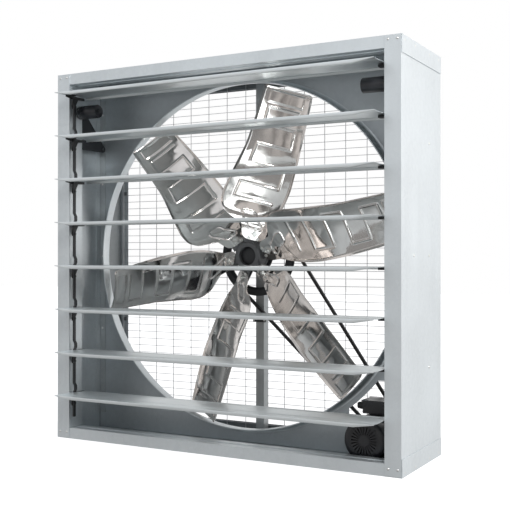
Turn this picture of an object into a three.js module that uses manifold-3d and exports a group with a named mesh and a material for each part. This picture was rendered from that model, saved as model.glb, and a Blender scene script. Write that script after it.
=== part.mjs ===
// Box exhaust fan with a belt drive and drop-hammer louvres.
// Millimetres. +X is right, +Y is back, +Z is up, seen from the louvre side.
// The origin is the middle of the casing's underside.
import * as THREE from "three";
import { mergeVertices } from "three/addons/utils/BufferGeometryUtils.js";
import Module from "manifold-3d";

const wasm = await Module();
wasm.setup();

// ---------------------------------------------------------------- driving dimensions

const CASING_WIDTH = 1380;
const CASING_HEIGHT = 1380;
const CASING_DEPTH = 400;
const CASING_SHEET = 2;
const GAP = 0.3; // between two pieces that touch

const POST_WIDTH = 58; // front face of a side panel
const BAND_HEIGHT = 40; // front face of the top and bottom panels
const LIP_DEPTH = 75; // lips that run back from the front opening
const REAR_FLANGE_SIDE = 38;
const REAR_FLANGE_END = 48;
const CORNER_TAB = 58; // end tabs of the top and bottom panels, lapped over the sides

const AXIS_HEIGHT = CASING_HEIGHT / 2;
const PANEL_DEPTH = 255; // front face of the venturi panel, behind the casing's front
const COLLAR_DEPTH = 208; // front rim of the collar
const COLLAR_RADIUS = 633;
const COLLAR_FILLET = 15;
const MOTOR_CUTOUT = { left: 405, right: 655, top: 262, clear: 668 };

const BLADE_COUNT = 6;
const BLADE_PHASE = 73; // degrees from +X to the first blade
const BLADE_THICKNESS = 2;
const BLADE_CAMBER = 0.07; // bow of the section, as a part of its chord
// One row a station: radius, chord, shift of the chord's middle towards the trailing edge,
// pitch in degrees, depth of the chord's reference point.
const BLADE_STATIONS = [
  [62, 82, 0, 36, 261.5],
  [114, 104, 6, 36, 261.5],
  [150, 205, 40, 36, 254],
  [205, 236, 32, 36, 247],
  [270, 232, 17, 35, 240],
  [400, 200, 2, 26, 236],
  [520, 187, 0, 25, 236],
  [610, 178, 0, 26, 236],
  [622, 158, 0, 26, 236],
];
const BLADE_ROOT = { radius: 84, pitch: 36, depth: 261.5 }; // middle of the bolted joint with the hub

const HUB_RADIUS = 53;
const HUB_FRONT = 250;
const HUB_REAR = 322;
const CAP_RADIUS = 33.6;
const AXLE_RADIUS = 15;
const BEARING_RADIUS = 31;
const BEARING_WIDTH = 15.4;

const BELT_DEPTH = 336; // middle of the belt
const BELT_WIDTH = 13;
const BELT_THICKNESS = 10;
const DRIVEN_RADIUS = 142; // where the belt's middle runs
const DRIVER_RADIUS = 49;
const DRIVEN_WEB = { bore: 26, boss: 50, rim: 128, half: 3, spokes: 6 };
const MOTOR = { x: 525, z: 84.5 };
const MOTOR_RADIUS = 75;

const STRUT = { width: 34, front: 350, rear: 386, sheet: 2 };
const GUARD = { front: 389, wire: 2.5, halfWidth: 672, bottom: 14, top: 1366, columns: 16, rows: 12 };

const LOUVER_COUNT = 8;
const LOUVER_PITCH = 160.4;
const LOUVER_TOP = 1293; // height of the top louver's pivot
const LOUVER_DEPTH = 30; // depth of the pivots behind the casing's front
const LOUVER_HALF_LENGTH = 630;
const LOUVER_SHEET = 1;
const LOUVER_FRONT = 117; // from the pivot to the front edge
const LOUVER_REAR = 44;
const LOUVER_RISE = 4.2; // from the pivot's axis to the louver's upper face
const LOUVER_LIP = 14;
const CRANK_PIN = { y: -20, z: -38 }; // from the pivot to the link bar's pin
const PIVOT_RADIUS = 4;
const PIN_RADIUS = 3;

const HAMMER_PIVOT = { depth: 236, z: 1120 };
const HAMMER_PIN = { depth: 58, z: 1239, radius: 8 };
const HAMMER_WEIGHT = { inner: 537, outer: 630, radius: 25 };
const HAMMER_ARM = { inner: 656, outer: 662 };
const HAMMER_STUD_RADIUS = 6;

// ---------------------------------------------------------------- materials

const material = (color, roughness, metalness) =>
  new THREE.MeshStandardMaterial({ color, roughness, metalness });
const GALVANISED = () => material(0xa9b2b5, 0.45, 0.8);
const LOUVER_METAL = () => material(0xc3c9ca, 0.4, 0.8);
const STAINLESS = () => material(0xb9b4ae, 0.12, 1);
const CAST_BLACK = () => material(0x2b2d2f, 0.6, 0.3);
const BLACK_PLASTIC = () => material(0x1b1d1f, 0.5, 0);
const RUBBER = () => material(0x18191a, 0.8, 0);
const STEEL = () => material(0x8f9293, 0.35, 0.9);
const GUARD_WIRE = () => material(0x9a9c9e, 0.4, 0.8);

// ---------------------------------------------------------------- shape helpers

const deep = (depth) => depth - CASING_DEPTH / 2; // Y of a depth behind the casing's front

function toSolid(geometry) {
  const bare = geometry.index ? geometry.toNonIndexed() : geometry.clone();
  bare.deleteAttribute("normal");
  bare.deleteAttribute("uv");
  const merged = mergeVertices(bare, 1e-4);
  const mesh = new wasm.Mesh({
    numProp: 3,
    vertProperties: merged.attributes.position.array,
    triVerts: new Uint32Array(merged.index.array),
  });
  return new wasm.Manifold(mesh);
}

function toGeometry(solid) {
  const mesh = solid.getMesh();
  const geometry = new THREE.BufferGeometry();
  geometry.setAttribute("position", new THREE.BufferAttribute(mesh.vertProperties, 3));
  geometry.setIndex(new THREE.BufferAttribute(mesh.triVerts, 1));
  geometry.computeVertexNormals();
  return geometry;
}

function join(...geometries) {
  return toGeometry(geometries.map(toSolid).reduce((whole, piece) => whole.add(piece)));
}

function cut(geometry, ...tools) {
  return toGeometry(tools.map(toSolid).reduce((rest, tool) => rest.subtract(tool), toSolid(geometry)));
}

function block([x0, x1], [y0, y1], [z0, z1]) {
  const box = new THREE.BoxGeometry(x1 - x0, y1 - y0, z1 - z0);
  return box.translate((x0 + x1) / 2, (y0 + y1) / 2, (z0 + z1) / 2);
}

const pointsOf = (pairs) => pairs.map(([a, b]) => new THREE.Vector2(a, b));

function shapeOf(outline) {
  return outline instanceof THREE.Shape ? outline : new THREE.Shape(pointsOf(outline));
}

function extrudeUp(outline, z0, z1) {
  const solid = new THREE.ExtrudeGeometry(shapeOf(outline), { depth: z1 - z0, bevelEnabled: false });
  return solid.translate(0, 0, z0);
}

// An outline in (Y, Z), run along X.
function extrudeAlong(outline, x0, x1) {
  const turn = new THREE.Matrix4().makeBasis(
    new THREE.Vector3(0, 1, 0),
    new THREE.Vector3(0, 0, 1),
    new THREE.Vector3(1, 0, 0),
  );
  return extrudeUp(outline, 0, x1 - x0).applyMatrix4(turn).translate(x0, 0, 0);
}

// An outline in (X, Z), run along Y.
function extrudeBack(outline, y0, y1) {
  return extrudeUp(outline, 0, y1 - y0).rotateX(Math.PI / 2).translate(0, y1, 0);
}

// A profile of (radius, Y), turned about the Y axis.
function turned(profile, segments) {
  return new THREE.LatheGeometry(profile.map(([radius, y]) => new THREE.Vector2(radius, y)), segments);
}

const closed = (profile) => [...profile, profile[0]];

function rodAlongX(radius, x0, x1, y, z, sides = 12) {
  const rod = new THREE.CylinderGeometry(radius, radius, x1 - x0, sides);
  return rod.rotateZ(Math.PI / 2).translate((x0 + x1) / 2, y, z);
}

function rodAlongY(radius, y0, y1, x, z, sides = 12) {
  return new THREE.CylinderGeometry(radius, radius, y1 - y0, sides).translate(x, (y0 + y1) / 2, z);
}

// The outline of a folded sheet: the path is one face, and the thickness is laid off to its left.
function foldedSheet(path, thickness) {
  const points = pointsOf(path);
  const leftOf = (from, to) => {
    const step = to.clone().sub(from).normalize();
    return new THREE.Vector2(-step.y, step.x);
  };
  const other = points.map((point, i) => {
    const before = i > 0 ? leftOf(points[i - 1], point) : leftOf(point, points[1]);
    const after = i < points.length - 1 ? leftOf(point, points[i + 1]) : before;
    const mitre = before.clone().add(after).normalize();
    return point.clone().addScaledVector(mitre, thickness / mitre.dot(before));
  });
  return new THREE.Shape([...points, ...other.reverse()]);
}

function arc(centre, radius, fromDegrees, toDegrees, steps) {
  return Array.from({ length: steps + 1 }, (_, i) => {
    const angle = THREE.MathUtils.degToRad(THREE.MathUtils.lerp(fromDegrees, toDegrees, i / steps));
    return [centre[0] + radius * Math.cos(angle), centre[1] + radius * Math.sin(angle)];
  });
}

function piece(name, geometry, surface) {
  const mesh = new THREE.Mesh(geometry, surface);
  mesh.name = name;
  return mesh;
}

// ---------------------------------------------------------------- casing

const louverHeight = (index) => LOUVER_TOP - index * LOUVER_PITCH;
const SIDE_FACE = CASING_WIDTH / 2 - CASING_SHEET - GAP; // outer face of a side panel
const LIP_FACE = CASING_WIDTH / 2 - POST_WIDTH;

// The right side panel: a channel with a lip at the front opening.
function sidePanel() {
  const bottom = CASING_SHEET + GAP;
  const top = CASING_HEIGHT - bottom;
  const profile = foldedSheet(
    [
      [LIP_FACE, deep(LIP_DEPTH)],
      [LIP_FACE, deep(0)],
      [SIDE_FACE, deep(0)],
      [SIDE_FACE, deep(CASING_DEPTH)],
      [CASING_WIDTH / 2 - REAR_FLANGE_SIDE, deep(CASING_DEPTH)],
    ],
    CASING_SHEET,
  );
  const lipAcross = [LIP_FACE - 1, LIP_FACE + CASING_SHEET + 0.5];
  const lipBack = [deep(CASING_SHEET), deep(LIP_DEPTH) + 1];
  const lipEnd = BAND_HEIGHT + 2 * GAP;
  const stud = rodAlongX(
    HAMMER_STUD_RADIUS,
    HAMMER_ARM.inner - 4,
    SIDE_FACE - 1,
    deep(HAMMER_PIVOT.depth),
    HAMMER_PIVOT.z,
  );
  const pivotHoles = Array.from({ length: LOUVER_COUNT }, (_, i) =>
    rodAlongX(PIVOT_RADIUS + 0.5, ...lipAcross, deep(LOUVER_DEPTH), louverHeight(i), 8),
  );
  const hammerNotch = block(lipAcross, [deep(46), deep(LIP_DEPTH) + 1], [1228, 1274]);
  return cut(
    join(extrudeUp(profile, bottom, top), stud),
    block(lipAcross, lipBack, [0, lipEnd]),
    block(lipAcross, lipBack, [CASING_HEIGHT - lipEnd, CASING_HEIGHT]),
    hammerNotch,
    ...pivotHoles,
  );
}

// The bottom panel: its front face and lips lap behind the side panels, and its end tabs outside them.
// Turned over, it is the top panel.
function endPanel() {
  const front = deep(CASING_SHEET + GAP);
  const back = deep(CASING_DEPTH - CASING_SHEET - GAP);
  const profile = foldedSheet(
    [
      [deep(LIP_DEPTH), BAND_HEIGHT - 14],
      [deep(LIP_DEPTH), BAND_HEIGHT],
      [deep(45), BAND_HEIGHT],
      [deep(42), BAND_HEIGHT - 4],
      [deep(36), BAND_HEIGHT - 4],
      [deep(33), BAND_HEIGHT],
      [front, BAND_HEIGHT],
      [front, 0],
      [back, 0],
      [back, REAR_FLANGE_END],
    ],
    CASING_SHEET,
  );
  const inner = SIDE_FACE - CASING_SHEET - 2 * GAP;
  const outer = CASING_WIDTH / 2;
  const tab = (side) => {
    const across = (a, b) => (side > 0 ? [a, b] : [-b, -a]);
    return join(
      block(across(inner - 1, outer), [front, back], [0, CASING_SHEET]),
      block(across(outer - CASING_SHEET, outer), [front, back], [0, CORNER_TAB]),
    );
  };
  return join(extrudeAlong(profile, -inner, inner), tab(1), tab(-1));
}

// The venturi panel: a flat sheet turned back at its edges, with the collar pressed forward out of it.
function venturiPanel() {
  const reach = SIDE_FACE - CASING_SHEET - 2 * GAP;
  const bottom = CASING_SHEET + 2 * GAP;
  const top = CASING_HEIGHT - bottom;
  const y0 = deep(PANEL_DEPTH);
  const y1 = y0 + CASING_SHEET;
  const segments = 48;
  const bend = [COLLAR_RADIUS + CASING_SHEET + COLLAR_FILLET, y0 - COLLAR_FILLET];
  const flange = bend[0] + 6;
  const collar = turned(
    closed([
      [COLLAR_RADIUS, deep(COLLAR_DEPTH)],
      [COLLAR_RADIUS + CASING_SHEET, deep(COLLAR_DEPTH)],
      ...arc(bend, COLLAR_FILLET, 180, 90, 2),
      [flange, y0],
      [flange, y1],
      ...arc(bend, COLLAR_FILLET + CASING_SHEET, 90, 180, 2),
    ]),
    segments,
  ).translate(0, 0, AXIS_HEIGHT);
  const mouth = rodAlongY(flange - 3, y0 - 1, y1 + 1, 0, AXIS_HEIGHT, segments);
  const sheet = cut(block([-reach, reach], [y0, y1], [bottom, top]), mouth);
  const edge = 25;
  const edges = [
    block([reach - CASING_SHEET, reach], [y0, y0 + edge], [bottom, top]),
    block([-reach, -reach + CASING_SHEET], [y0, y0 + edge], [bottom, top]),
    block([-reach, reach], [y0, y0 + edge], [bottom, bottom + CASING_SHEET]),
    block([-reach, reach], [y0, y0 + edge], [top - CASING_SHEET, top]),
  ];
  const aroundMouth = rodAlongY(MOTOR_CUTOUT.clear, y0 - 30, y1 + 60, 0, AXIS_HEIGHT, segments);
  const motorSpace = cut(
    block([MOTOR_CUTOUT.left, MOTOR_CUTOUT.right], [y0 - 10, y0 + edge + 10], [0, MOTOR_CUTOUT.top]),
    aroundMouth,
  );
  return cut(join(sheet, collar, ...edges), motorSpace);
}

// An angle strip that holds the venturi panel to the right side panel. The hammer's stud passes through it.
function venturiStrip() {
  const wall = SIDE_FACE - CASING_SHEET - GAP;
  const y = deep(PANEL_DEPTH) - GAP;
  const profile = foldedSheet(
    [
      [wall, y - 28],
      [wall, y],
      [wall - 28, y],
    ],
    CASING_SHEET,
  );
  const studHole = rodAlongX(
    HAMMER_STUD_RADIUS + 2,
    wall - 4,
    wall + 1,
    deep(HAMMER_PIVOT.depth),
    HAMMER_PIVOT.z,
  );
  return cut(extrudeUp(profile, 60, CASING_HEIGHT - 60), studHole);
}

function centreStrut() {
  const half = STRUT.width / 2;
  const profile = foldedSheet(
    [
      [-half, deep(STRUT.rear)],
      [-half, deep(STRUT.front)],
      [half, deep(STRUT.front)],
      [half, deep(STRUT.rear)],
    ],
    STRUT.sheet,
  );
  const low = CASING_SHEET + GAP;
  const high = CASING_HEIGHT - low;
  const foot = (z0, z1) => block([-45, 45], [deep(STRUT.front), deep(STRUT.rear)], [z0, z1]);
  const channel = join(extrudeUp(profile, low, high), foot(low, low + 3), foot(high - 3, high));
  const web = deep(STRUT.front);
  return cut(channel, rodAlongY(AXLE_RADIUS + GAP, web - 1, web + STRUT.sheet + 1, 0, AXIS_HEIGHT, 24));
}

function strutClip() {
  const y1 = deep(STRUT.front) - GAP;
  return block([-27, 27], [y1 - 6, y1], [440, 456]);
}

// The rear guard holds every upright wire and every fourth cross wire.
function rearGuard() {
  const { front, halfWidth, bottom, top, wire, columns, rows } = GUARD;
  const stepX = (2 * halfWidth - wire) / columns;
  const stepZ = (top - bottom - wire) / rows;
  const y = deep(front);
  const openings = [];
  for (let column = 0; column < columns; column++) {
    for (let row = 0; row < rows; row++) {
      const x = -halfWidth + wire + column * stepX;
      const z = bottom + wire + row * stepZ;
      openings.push(block([x, x + stepX - wire], [y - 1, y + wire + 1], [z, z + stepZ - wire]));
    }
  }
  return cut(block([-halfWidth, halfWidth], [y, y + wire], [bottom, top]), ...openings);
}

// ---------------------------------------------------------------- impeller, about its own Y axis

function axle() {
  const profile = [
    [0, deep(270)],
    [AXLE_RADIUS, deep(270)],
    [AXLE_RADIUS, deep(HUB_REAR) + 2],
    [24, deep(HUB_REAR) + 2],
    [24, deep(STRUT.front) - GAP],
    [AXLE_RADIUS, deep(STRUT.front) - GAP],
    [AXLE_RADIUS, deep(362)],
    [0, deep(362)],
  ];
  const inside = STRUT.width / 2 - STRUT.sheet - 0.5;
  const plate = block([-inside, inside], [deep(STRUT.front) + STRUT.sheet + GAP, deep(360)], [-45, 45]);
  return join(turned(profile, 24), plate);
}

function bearing(front) {
  const inner = AXLE_RADIUS + GAP;
  const y0 = deep(front);
  return turned(
    closed([
      [inner, y0],
      [BEARING_RADIUS, y0],
      [BEARING_RADIUS, y0 + BEARING_WIDTH],
      [inner, y0 + BEARING_WIDTH],
    ]),
    24,
  );
}

// A flat piece on the blades' mounting plane, along +X: its own Y is the plane's normal.
function onBladeRoot(geometry, offset) {
  const pitch = THREE.MathUtils.degToRad(BLADE_ROOT.pitch);
  const y = deep(BLADE_ROOT.depth) + offset * Math.cos(pitch);
  return geometry.rotateX(pitch).translate(BLADE_ROOT.radius, y, offset * Math.sin(pitch));
}

const bladeTurn = (index) => -THREE.MathUtils.degToRad(BLADE_PHASE + (index * 360) / BLADE_COUNT);

function hub() {
  const seat = BEARING_RADIUS + GAP;
  const barrel = turned(
    closed([
      [CAP_RADIUS + 0.4, deep(HUB_FRONT)],
      [HUB_RADIUS, deep(HUB_FRONT)],
      [HUB_RADIUS, deep(HUB_REAR)],
      [seat, deep(HUB_REAR)],
      [seat, deep(HUB_REAR - 16)],
      [26, deep(HUB_REAR - 16)],
      [26, deep(284)],
      [seat, deep(284)],
      [seat, deep(268)],
      [CAP_RADIUS + 0.4, deep(268)],
    ]),
    24,
  );
  const thickness = 8;
  const offset = BLADE_THICKNESS / 2 + GAP + thickness / 2;
  const arms = Array.from({ length: BLADE_COUNT }, (_, i) =>
    onBladeRoot(new THREE.BoxGeometry(70, thickness, 60), offset).rotateY(bladeTurn(i)),
  );
  return join(barrel, ...arms);
}

function hubCap() {
  return turned(
    [
      [0, deep(262)],
      [CAP_RADIUS - 5, deep(262)],
      [CAP_RADIUS, deep(264.5)],
      [CAP_RADIUS, deep(267.7)],
      [0, deep(267.7)],
    ],
    24,
  );
}

function bladeStation(radius) {
  const outer = Math.max(1, BLADE_STATIONS.findIndex((station) => station[0] >= radius - 1e-6));
  const [a, b] = [BLADE_STATIONS[outer - 1], BLADE_STATIONS[outer]];
  const share = (radius - a[0]) / (b[0] - a[0]);
  return a.map((value, i) => THREE.MathUtils.lerp(value, b[i], share));
}

// A twisted, cambered sheet along +X. The trailing edge, towards +Z, is the forward one.
function blade() {
  const across = 5;
  const rootRadius = BLADE_STATIONS[0][0];
  const tipRadius = BLADE_STATIONS.at(-1)[0];
  const radii = [rootRadius, 114, 130, 150, 205, 270, 335, 400, 460, 520, 565, 610, tipRadius];
  const sheet = new THREE.BoxGeometry(1, 1, 1, radii.length - 1, 1, across);
  const position = sheet.attributes.position;
  for (let i = 0; i < position.count; i++) {
    const along = Math.round((position.getX(i) + 0.5) * (radii.length - 1));
    const radius = radii[along];
    const [, chord, shift, pitchDegrees, depth] = bladeStation(radius);
    const pitch = THREE.MathUtils.degToRad(pitchDegrees);
    const share = position.getZ(i);
    const flat = THREE.MathUtils.smoothstep(radius, 120, 220);
    const bow = BLADE_CAMBER * chord * flat * (1 - 4 * share * share);
    const c = shift + share * chord;
    const n = bow + position.getY(i) * BLADE_THICKNESS;
    position.setXYZ(
      i,
      radius,
      deep(depth) - c * Math.sin(pitch) + n * Math.cos(pitch),
      c * Math.cos(pitch) + n * Math.sin(pitch),
    );
  }
  return sheet;
}

function bladeClamp() {
  const thickness = 4;
  const plateOffset = -(BLADE_THICKNESS / 2 + GAP + thickness / 2);
  const plate = new THREE.BoxGeometry(40, thickness, 40).rotateY(Math.PI / 4);
  const boltHead = (x) =>
    new THREE.CylinderGeometry(6.5, 6.5, 6, 6).translate(x, -thickness / 2 - 2, 0);
  return onBladeRoot(join(plate, boltHead(-13), boltHead(13)), plateOffset);
}

function drivenPulley() {
  const { bore, boss, rim: innerRim, half: web, spokes } = DRIVEN_WEB;
  const y = (offset) => deep(BELT_DEPTH) + offset;
  const groove = DRIVEN_RADIUS - BELT_THICKNESS / 2 - 0.5;
  const rim = DRIVEN_RADIUS + 8;
  const side = BELT_WIDTH / 2 + 0.5;
  const half = 11;
  const seat = deep(HUB_REAR) + GAP;
  const wheel = turned(
    closed([
      [bore, seat],
      [boss, seat],
      [boss, y(-web)],
      [innerRim, y(-web)],
      [innerRim, y(-half)],
      [rim, y(-half)],
      [rim, y(-side)],
      [groove, y(-side)],
      [groove, y(side)],
      [rim, y(side)],
      [rim, y(half)],
      [innerRim, y(half)],
      [innerRim, y(web)],
      [bore, y(web)],
    ]),
    30,
  );
  const openings = Array.from({ length: spokes }, (_, i) => {
    const [from, to] = [i, i + 1].map((turn) => (turn * 360) / spokes);
    const inside = arc([0, 0], boss + 12, from + 8, to - 8, 3);
    const outside = arc([0, 0], innerRim - 9, to - 4, from + 4, 4);
    return extrudeBack([...inside, ...outside], y(-web - 2), y(web + 2));
  });
  return cut(wheel, ...openings);
}

// ---------------------------------------------------------------- belt and motor

const MOTOR_OFFSET = { x: MOTOR.x, z: MOTOR.z - AXIS_HEIGHT }; // from the impeller's axis
const CENTRES = Math.hypot(MOTOR_OFFSET.x, MOTOR_OFFSET.z);

// The open belt line round both pulleys, for pulley radii moved out by an offset.
function beltLine(offset) {
  const heading = Math.atan2(MOTOR_OFFSET.z, MOTOR_OFFSET.x);
  const wrap = Math.acos((DRIVEN_RADIUS - DRIVER_RADIUS) / CENTRES);
  const degrees = THREE.MathUtils.radToDeg;
  const [from, to] = [degrees(heading - wrap), degrees(heading + wrap)];
  const large = arc([0, 0], DRIVEN_RADIUS + offset, to, from + 360, 26);
  const small = arc([MOTOR_OFFSET.x, MOTOR_OFFSET.z], DRIVER_RADIUS + offset, from, to, 12);
  return [...large, ...small];
}

function vBelt() {
  const band = shapeOf(beltLine(BELT_THICKNESS / 2));
  const inner = beltLine(-BELT_THICKNESS / 2).map(([a, b]) => new THREE.Vector2(a, b));
  band.holes.push(new THREE.Path(inner));
  const y = deep(BELT_DEPTH);
  return extrudeBack(band, y - BELT_WIDTH / 2, y + BELT_WIDTH / 2);
}

// The motor's cast frame, about the motor's own Y axis: fins, a closed front shield and two feet.
function motorFrame() {
  const fins = 18;
  const root = MOTOR_RADIUS - 7;
  const outline = Array.from({ length: fins }, (_, i) => {
    const step = 360 / fins;
    const start = i * step;
    return [
      ...arc([0, 0], MOTOR_RADIUS, start, start + step * 0.35, 1),
      ...arc([0, 0], root, start + step * 0.45, start + step * 0.9, 1),
    ];
  }).flat();
  const bore = new THREE.Path(arc([0, 0], 62, 0, 360, 24).slice(1).map(([a, b]) => new THREE.Vector2(a, b)));
  const ring = shapeOf(outline);
  ring.holes.push(bore);
  const barrel = extrudeBack(ring, deep(145), deep(288));
  const shield = turned(
    closed([
      [12.6, deep(134)],
      [40, deep(134)],
      [66, deep(140)],
      [66, deep(146)],
      [12.6, deep(146)],
    ]),
    24,
  );
  const foot = (side) => {
    const across = (a, b) => (side > 0 ? [a, b] : [-b, -a]);
    const low = CASING_SHEET + GAP + 6 + GAP - MOTOR.z;
    return join(
      block(across(55, 67), [deep(165), deep(268)], [low, -34]),
      block(across(50, 84), [deep(165), deep(268)], [low, low + 12]),
    );
  };
  return join(barrel, shield, foot(1), foot(-1));
}

function motorShieldRear() {
  return turned(
    closed([
      [12.6, deep(288.3)],
      [70, deep(288.3)],
      [70, deep(297)],
      [40, deep(305)],
      [12.6, deep(305)],
    ]),
    24,
  );
}

function motorStator() {
  return turned(
    closed([
      [40.6, deep(160)],
      [61, deep(160)],
      [61, deep(270)],
      [40.6, deep(270)],
    ]),
    20,
  );
}

function motorRotor() {
  return turned(
    [
      [0, deep(102)],
      [11, deep(102)],
      [11, deep(165)],
      [39.8, deep(165)],
      [39.8, deep(265)],
      [12, deep(265)],
      [12, deep(349)],
      [0, deep(349)],
    ],
    20,
  );
}

function motorFan() {
  const boss = turned(
    closed([
      [11.4, deep(106)],
      [20, deep(106)],
      [20, deep(121)],
      [58, deep(121)],
      [58, deep(124)],
      [11.4, deep(124)],
    ]),
    16,
  );
  const vanes = Array.from({ length: 8 }, (_, i) =>
    block([18, 56], [deep(106), deep(122)], [-1.2, 1.2]).rotateY((i * Math.PI) / 4),
  );
  return join(boss, ...vanes);
}

function motorFanCover() {
  const shell = turned(
    [
      [0, deep(94)],
      [58, deep(94)],
      [72, deep(101)],
      [72, deep(144)],
      [70, deep(144)],
      [70, deep(102)],
      [57, deep(96)],
      [0, deep(96)],
    ],
    24,
  );
  const slots = Array.from({ length: 12 }, (_, i) =>
    block([20, 50], [deep(90), deep(99)], [-3, 3]).rotateY((i * Math.PI) / 6),
  );
  return cut(shell, ...slots);
}

function motorPulley() {
  const y = (offset) => deep(BELT_DEPTH) + offset;
  const groove = DRIVER_RADIUS - BELT_THICKNESS / 2 - 0.5;
  const rim = DRIVER_RADIUS + 8;
  const side = BELT_WIDTH / 2 + 0.5;
  return turned(
    closed([
      [12.4, y(-11)],
      [rim, y(-11)],
      [rim, y(-side)],
      [groove, y(-side)],
      [groove, y(side)],
      [rim, y(side)],
      [rim, y(11)],
      [12.4, y(11)],
    ]),
    28,
  );
}

const BOX = { x: [-45, 45], y: [deep(170), deep(262)], z: [MOTOR_RADIUS + GAP, MOTOR_RADIUS + 42] };

function terminalBox() {
  const wall = 3;
  const shell = block(BOX.x, BOX.y, BOX.z);
  const inside = block(
    [BOX.x[0] + wall, BOX.x[1] - wall],
    [BOX.y[0] + wall, BOX.y[1] - wall],
    [BOX.z[0] + wall, BOX.z[1] - wall],
  );
  const cableHole = rodAlongX(9, BOX.x[0] - 1, BOX.x[0] + wall + 1, (BOX.y[0] + BOX.y[1]) / 2, BOX.z[0] + 20);
  const overhang = ([low, high]) => [low - wall, high + wall];
  const lid = block(overhang(BOX.x), overhang(BOX.y), [BOX.z[1] - wall, BOX.z[1] + wall]);
  return cut(join(shell, lid), inside, cableHole);
}

// The cable inlet in the terminal box's left wall, about its own X axis.
function cableGland() {
  const profile = [
    [4, -24],
    [11, -24],
    [13, -10],
    [13, -GAP],
    [8.6, -GAP],
    [8.6, 6],
    [4, 6],
  ];
  return turned(closed(profile), 12)
    .rotateZ(-Math.PI / 2)
    .translate(BOX.x[0], (BOX.y[0] + BOX.y[1]) / 2, BOX.z[0] + 20);
}

function motorBase() {
  const low = CASING_SHEET + GAP;
  return block([415, 640], [deep(125), deep(305)], [low, low + 6]);
}

// ---------------------------------------------------------------- louvers, about their own pivot axis

function louver() {
  const profile = foldedSheet(
    [
      [LOUVER_REAR, LOUVER_RISE - 10],
      [LOUVER_REAR, LOUVER_RISE],
      [-LOUVER_FRONT, LOUVER_RISE],
      [-LOUVER_FRONT, LOUVER_RISE - LOUVER_LIP],
      [-LOUVER_FRONT + 7, LOUVER_RISE - LOUVER_LIP],
    ],
    LOUVER_SHEET,
  );
  const length = LOUVER_HALF_LENGTH;
  const sheet = extrudeAlong(profile, -length, length);
  const low = LOUVER_RISE - LOUVER_LIP - 1;
  const taper = (side) =>
    extrudeBack(
      [
        [side * (length + 1), low + 10],
        [side * (length + 1), low],
        [side * (length - 65), low],
      ],
      -LOUVER_FRONT - 1,
      -LOUVER_FRONT + 8,
    );
  const linkSpace = block([-length - 1, -609], [-27, LOUVER_REAR + 1], [-20, 10]);
  const endCap = block([604, length - 0.5], [-14, 14], [-9, LOUVER_RISE - LOUVER_SHEET / 2]);
  const pivot = rodAlongX(PIVOT_RADIUS, length - 2, length + 10, 0, 0, 8);
  return join(cut(sheet, taper(1), taper(-1), linkSpace), endCap, pivot);
}

function crank() {
  const under = LOUVER_RISE - LOUVER_SHEET - 0.5;
  const { y, z } = CRANK_PIN;
  const plate = extrudeAlong(
    [
      [-62, under],
      [-62, -5],
      [y - 3, -9],
      [y - 9, z],
      [y - 5, z - 8],
      [y + 5, z - 8],
      [y + 9, z],
      [6, -9],
      [LOUVER_REAR, -7],
      [LOUVER_REAR, under],
    ],
    -623,
    -619,
  );
  const tab = block([-620, -596], [-62, -34], [under - 3.5, under]);
  const pivot = rodAlongX(PIVOT_RADIUS, -640, -622, 0, 0, 8);
  const pin = rodAlongX(PIN_RADIUS, -620, -609.5, y, z, 8);
  return join(plate, tab, pivot, pin);
}

// The link bar, about the top crank's pin. It is joggled back above each louver.
function linkBar() {
  const half = 6;
  const joggle = 8;
  const foot = 50;
  const line = [[0, 10]];
  for (let i = 0; i < LOUVER_COUNT; i++) {
    const z = -i * LOUVER_PITCH;
    if (i > 0) {
      line.push([0, z + 78], [joggle, z + 66], [joggle, z + 52], [0, z + 38]);
    }
  }
  line.push([0, -(LOUVER_COUNT - 1) * LOUVER_PITCH - foot]);
  const front = line.map(([a, b]) => [a - half, b]);
  const rear = line.map(([a, b]) => [a + half, b]).reverse();
  const bar = extrudeAlong([...front, ...rear], -618.5, -612.5);
  const holes = Array.from({ length: LOUVER_COUNT }, (_, i) =>
    rodAlongX(PIN_RADIUS + 0.5, -620, -611, 0, -i * LOUVER_PITCH, 8),
  );
  return cut(bar, ...holes);
}

// ---------------------------------------------------------------- hammers, on the right-hand side

function hammerArm() {
  const boss = HAMMER_PIVOT;
  const plate = extrudeAlong(
    [
      [deep(boss.depth), boss.z - 14],
      [deep(100), boss.z - 14],
      [deep(44), HAMMER_PIN.z - 13],
      [deep(44), HAMMER_PIN.z + 15],
      [deep(120), HAMMER_PIN.z + 15],
      [deep(boss.depth), boss.z + 16],
      [deep(boss.depth + 10), boss.z + 10],
      [deep(boss.depth + 14), boss.z],
      [deep(boss.depth + 10), boss.z - 10],
    ],
    HAMMER_ARM.inner,
    HAMMER_ARM.outer,
  );
  const pivotHole = rodAlongX(
    HAMMER_STUD_RADIUS + 0.4,
    HAMMER_ARM.inner - 1,
    HAMMER_ARM.outer + 1,
    deep(boss.depth),
    boss.z,
  );
  const pin = rodAlongX(
    HAMMER_PIN.radius,
    HAMMER_WEIGHT.inner + 1,
    HAMMER_ARM.inner + 1,
    deep(HAMMER_PIN.depth),
    HAMMER_PIN.z,
  );
  return join(cut(plate, pivotHole), pin);
}

function hammerWeight() {
  const { inner, outer, radius } = HAMMER_WEIGHT;
  const bore = HAMMER_PIN.radius + GAP;
  const profile = closed([
    [bore, inner],
    [radius - 3, inner],
    [radius, inner + 3],
    [radius, outer - 3],
    [radius - 3, outer],
    [bore, outer],
  ]);
  return turned(profile, 20)
    .rotateZ(-Math.PI / 2)
    .translate(0, deep(HAMMER_PIN.depth), HAMMER_PIN.z);
}

// ---------------------------------------------------------------- assembly

const fan = new THREE.Group();

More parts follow.
